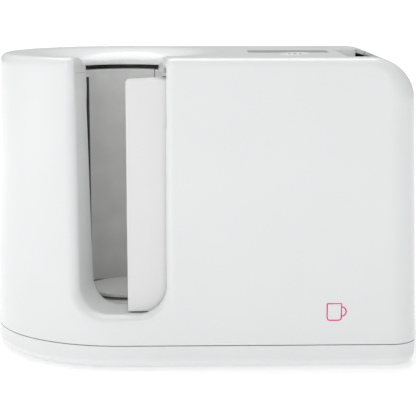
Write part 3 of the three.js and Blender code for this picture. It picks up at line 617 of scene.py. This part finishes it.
def make_small_pieces():
    rounds = {
        "jaw_cover": (0.8, 3),
        "finger_scoop": (0.6, 3),
        "lever_grip": (1.0, 3),
        "lever_tub": (0.5, 2),
        "rear_panel": (0.5, 2),
        "mains_inlet": (0.5, 2),
        "rocker_frame": (0.5, 2),
        "rocker_switch": (0.6, 3),
        "jaw_shell": (0.4, 2),
        "display_window": (0.3, 2),
        "drawbar": (0.4, 2),
        "crank_arm": (0.4, 2),
        "relay": (0.6, 2),
        "transformer": (0.6, 2),
        "terminal_block": (0.5, 2),
        "capacitor": (0.8, 3),
        "heat_sink": (0.2, 1),
        "hinge_bracket": (0.4, 2),
    }
    for node, (width, segments) in rounds.items():
        stand_in(remade(node, width, segments), node, MATERIALS[SLOTS[node]])


def make_button():
    x, y, r = BUTTON_X, BUTTON_Y, BUTTON_R
    cap = [(0, 228), (2.5, 228), (2.5, 234.5), (r - 0.4, 234.5), (r, 234.9), (r, 238.9)]
    cap += [(r - 0.8 * (1 - math.cos(a)), 238.9 + 0.8 * math.sin(a)) for a in (0.4, 0.8, 1.2, 1.57)]
    cap += [(r - 3, 239.68), (r - 6, 239.55), (0, 239.4)]
    stand_in(turned("start_button_fine", cap, x, y, 96), "start_button", MATERIALS["panel_white"])
    ring = [(r + 0.4, 230), (r + 1.9, 230), (r + 1.9, 234), (r + 4, 234), (r + 4, 236.6), (r + 1.9, 236.6),
            (r + 1.9, 239.5), (r + 1.6, 239.85), (r + 0.8, 239.85), (r + 0.4, 239.5), (r + 0.4, 230)]
    stand_in(turned("button_bezel_fine", ring, x, y, 96), "button_bezel", MATERIALS["panel_white"])


def ribbon(name, path, width, thick):
    """A flat strip along a closed or open path of (x, z) points, lying on the leaning front face."""
    bm = bmesh.new()
    rows = []
    for i, (x, z) in enumerate(path):
        before, after = path[max(i - 1, 0)], path[min(i + 1, len(path) - 1)]
        dx, dz = after[0] - before[0], after[1] - before[1]
        length = math.hypot(dx, dz)
        nx, nz = -dz / length * width / 2, dx / length * width / 2
        row = []
        for side, lift in ((1, -0.2), (1, thick), (-1, thick), (-1, -0.2)):
            px, pz = x + side * nx, z + side * nz
            row.append(bm.verts.new((px * MM, (-HALF_WIDTH + LEAN * (pz - SEAM_Z) - lift) * MM, pz * MM)))
        rows.append(row)
    for a, b in zip(rows, rows[1:]):
        for k in range(4):
            bm.faces.new((a[k], a[(k + 1) % 4], b[(k + 1) % 4], b[k]))
    bm.faces.new(rows[0])
    bm.faces.new(rows[-1][::-1])
    bmesh.ops.recalc_face_normals(bm, faces=bm.faces)
    return link_bmesh(name, bm)


def make_pictogram():
    """A plain printed outline of a mug, low on the right of the front face."""
    left, right, low, high, r = 95.5, 106.5, 39.5, 52.5, 2.2
    path = [(left, high), (left, low + r)]
    path += [(left + r - r * math.cos(t), low + r - r * math.sin(t)) for t in (0.4, 0.8, 1.2)]
    path += [(left + r, low), (right - r, low)]
    path += [(right - r + r * math.sin(t), low + r - r * math.cos(t)) for t in (0.4, 0.8, 1.2)]
    path += [(right, low + r), (right, high), (left, high)]
    handle = [(right + 3.6 * math.cos(t), 46.3 + 3.6 * math.sin(t)) for t in np.linspace(-1.5, 1.5, 15)]
    magenta = (0.78, 0.012, 0.22)
    ink = material("magenta_ink", magenta, 0.4, variation=0.04, grain=1500, grain_depth=0.01, blotch=200)
    for name, line in (("mug_print_cup", path), ("mug_print_handle", handle)):
        obj = ribbon(name, line, 1.0, 0.06)
        obj.data.materials.append(ink)
        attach(obj, "root")


def bar_outline(x):
    """A short bar with round ends, as points in the plane of the button's top."""
    outline = []
    for side in (1, -1):
        for k in range(7):
            angle = math.pi * (k / 6 - 0.5) + (0 if side > 0 else math.pi)
            u = x + side * MARK_HALF + MARK_R * math.cos(angle)
            outline.append((u, MARK_Y + MARK_R * math.sin(angle)))
    return outline


def make_button_marks():
    """Three short dark bars across the middle of the start button."""
    for i, x in enumerate(MARK_XS):
        outline = bar_outline(x)
        bm = bmesh.new()
        low = [bm.verts.new((u * MM, v * MM, MARK_Z0 * MM)) for u, v in outline]
        high = [bm.verts.new((u * MM, v * MM, MARK_Z1 * MM)) for u, v in outline]
        bm.faces.new(high)
        bm.faces.new(low[::-1])
        for k in range(len(outline)):
            after = (k + 1) % len(outline)
            bm.faces.new((low[k], low[after], high[after], high[k]))
        obj = finish_edges(link_bmesh(f"button_mark_{i + 1}", bm), 0.08, 2)
        obj.data.materials.append(MATERIALS["dark_plastic"])
        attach(obj, "start_button")


def slope_flap():
    """The flap's top falls away a little to the left. Its right edge is drawn back behind the slot's lip."""
    for vertex in bpy.data.objects["jaw_cover_fine"].data.vertices:
        if vertex.co.y < -79 * MM:
            vertex.co.y += min(0.15 * max(vertex.co.x + 37 * MM, 0), 0.9 * MM)
        if vertex.co.z > 215 * MM:
            vertex.co.z -= 0.065 * max(-28 * MM - vertex.co.x, 0)


def make_feet():
    for i, (x, y) in enumerate(FEET):
        pad = [(0, 0.35), (5.5, 0.35), (6, 0), (8.2, 0), (8.8, 0.4), (9, 1.0), (9, 2.5), (0, 2.5)]
        stand_in(turned(f"foot_{i + 1}_fine", pad, x, y, 64), f"foot_{i + 1}", MATERIALS["foot_rubber"])


def dress_remaining():
    """Gives every CAD node that still shows its material."""
    for node, obj in frame["nodes"].items():
        if not obj.hide_render:
            obj.data.materials.clear()
            obj.data.materials.append(MATERIALS[SLOTS[node]])
            for polygon in obj.data.polygons:
                polygon.use_smooth = False


# ---- studio --------------------------------------------------------------------------------
def area_light(name, place, target, size, power, size_y=None):
    light = bpy.data.lights.new(name, "AREA")
    light.energy = power
    light.shape = "RECTANGLE"
    light.size, light.size_y = size, size_y or size
    obj = bpy.data.objects.new(name, light)
    bpy.context.scene.collection.objects.link(obj)
    obj.location = place
    obj.rotation_euler = (Vector(target) - Vector(place)).to_track_quat("-Z", "Y").to_euler()
    return obj


def glow(mat, near, far):
    """Light from the floor itself: little under the object and more far away."""
    nodes, links = mat.node_tree.nodes, mat.node_tree.links
    place = nodes.new("ShaderNodeTexCoord")
    reach = nodes.new("ShaderNodeVectorMath")
    reach.operation = "LENGTH"
    ramp = nodes.new("ShaderNodeMapRange")
    ramp.inputs["From Min"].default_value = 0.45
    ramp.inputs["From Max"].default_value = 1.5
    ramp.inputs["To Min"].default_value = near
    ramp.inputs["To Max"].default_value = far
    links.new(place.outputs["Object"], reach.inputs[0])
    links.new(reach.outputs["Value"], ramp.inputs["Value"])
    links.new(ramp.outputs["Result"], nodes["Principled BSDF"].inputs["Emission Strength"])
    nodes["Principled BSDF"].inputs["Emission Color"].default_value = (1, 1, 1, 1)


def make_studio():
    world = bpy.data.worlds.new("studio")
    bpy.context.scene.world = world
    world.use_nodes = True
    nodes, links = world.node_tree.nodes, world.node_tree.links
    room = nodes["Background"]
    room.inputs["Color"].default_value = (1, 1, 1, 1)
    room.inputs["Strength"].default_value = 0.38
    seen = nodes.new("ShaderNodeBackground")
    seen.inputs["Color"].default_value = (1, 1, 1, 1)
    seen.inputs["Strength"].default_value = 1.1
    path = nodes.new("ShaderNodeLightPath")
    mix = nodes.new("ShaderNodeMixShader")
    links.new(path.outputs["Is Camera Ray"], mix.inputs["Fac"])
    links.new(room.outputs["Background"], mix.inputs[1])
    links.new(seen.outputs["Background"], mix.inputs[2])
    links.new(mix.outputs["Shader"], nodes["World Output"].inputs["Surface"])
    bm = bmesh.new()
    bmesh.ops.create_grid(bm, x_segments=1, y_segments=1, size=8)
    floor = link_bmesh("floor", bm)
    pale = (0.93, 0.93, 0.93)
    floor_material = material("pale_floor", pale, 0.9, variation=0.004, grain=40, grain_depth=0.001, blotch=2)
    glow(floor_material, 0.3, 0.75)
    floor.data.materials.append(floor_material)
    area_light("front", (-0.8, -2.0, 0.9), (0, 0, 0.12), 1.6, 10, 1.2)
    area_light("overhead", (-0.1, 0.3, 1.7), (-0.1, 0.1, 0.2), 1.7, 19, 1.4)
    area_light("left", (-2.0, -0.5, 0.5), (0, 0, 0.12), 1.2, 2.7)
    bpy.context.scene.view_settings.view_transform = "Standard"


def make_camera():
    camera = bpy.data.cameras.new("camera")
    camera.sensor_width = 36.0
    camera.lens = 108.74
    camera.clip_start, camera.clip_end = 0.05, 30
    obj = bpy.data.objects.new("camera", camera)
    bpy.context.scene.collection.objects.link(obj)
    pitch, yaw = 0.1832, 0.0233
    obj.location = (-0.0176, -1.0223, 0.3)
    obj.rotation_euler = (math.pi / 2 - pitch, 0, -yaw)
    bpy.context.scene.camera = obj


make_camera()
make_studio()
make_housing()
make_well()
make_small_pieces()
make_button()
make_feet()
make_pictogram()
make_button_marks()
slope_flap()
dress_remaining()
